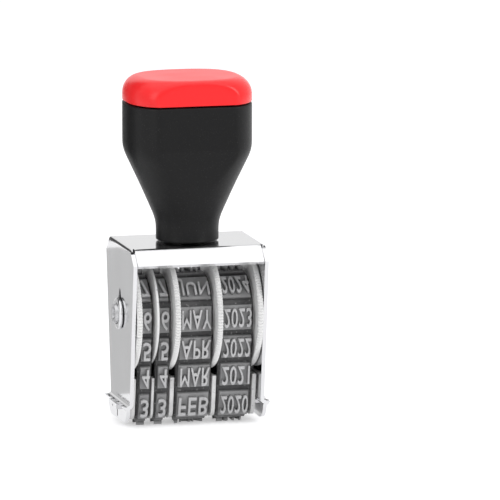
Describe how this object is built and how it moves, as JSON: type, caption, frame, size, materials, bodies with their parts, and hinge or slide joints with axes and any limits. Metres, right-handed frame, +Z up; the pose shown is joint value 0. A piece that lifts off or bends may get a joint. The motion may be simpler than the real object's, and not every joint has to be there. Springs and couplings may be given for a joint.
{
  "type": "manual date stamp",
  "caption": "Hand date stamp with rubber day, month and year bands on ribbed thumb wheels, in a pressed steel frame under a tapered handle.",
  "frame": {"origin": "on the surface the stamp stands on, under the middle of the printing face", "axes": "+X to the stamp's right seen from its front, -Y the front, +Z up along the handle"},
  "size_m": [0.031, 0.0244, 0.0715],
  "materials": {
    "bright_steel": "bright plated",
    "dark_steel": "plain",
    "white_plastic": "moulded satin",
    "grey_rubber": "matt moulded",
    "black_plastic": "fine satin",
    "red_plastic": "gloss moulded"
  },
  "bodies": {
    "frame": {"frame_bracket": "bright_steel", "axle": "dark_steel", "axle_eyelet_left": "bright_steel", "axle_eyelet_right": "bright_steel", "day_separator": "white_plastic", "band_day_tens": "grey_rubber", "band_day_units": "grey_rubber", "band_month": "grey_rubber", "band_year": "grey_rubber", "platen": "white_plastic", "platen_tongue_left": "dark_steel", "platen_tongue_right": "dark_steel", "handle_body": "black_plastic", "handle_cap": "red_plastic", "handle_screw": "dark_steel", "handle_washer": "dark_steel"},
    "day_tens_wheel": {"wheel_day_tens": "white_plastic"},
    "day_units_wheel": {"wheel_day_units": "white_plastic"},
    "month_wheel": {"wheel_month": "white_plastic"},
    "year_wheel": {"wheel_year": "white_plastic"}
  },
  "joints": [
    {"name": "day_tens_turn", "type": "hinge", "parent": "frame", "child": "day_tens_wheel", "pos_m": [-0.0125, 0, 0.023], "axis": [1, 0, 0], "continuous": true},
    {"name": "day_units_turn", "type": "hinge", "parent": "frame", "child": "day_units_wheel", "pos_m": [-0.007, 0, 0.023], "axis": [1, 0, 0], "continuous": true},
    {"name": "month_turn", "type": "hinge", "parent": "frame", "child": "month_wheel", "pos_m": [0, 0, 0.023], "axis": [1, 0, 0], "continuous": true},
    {"name": "year_turn", "type": "hinge", "parent": "frame", "child": "year_wheel", "pos_m": [0.008, 0, 0.023], "axis": [1, 0, 0], "continuous": true}
  ]
}
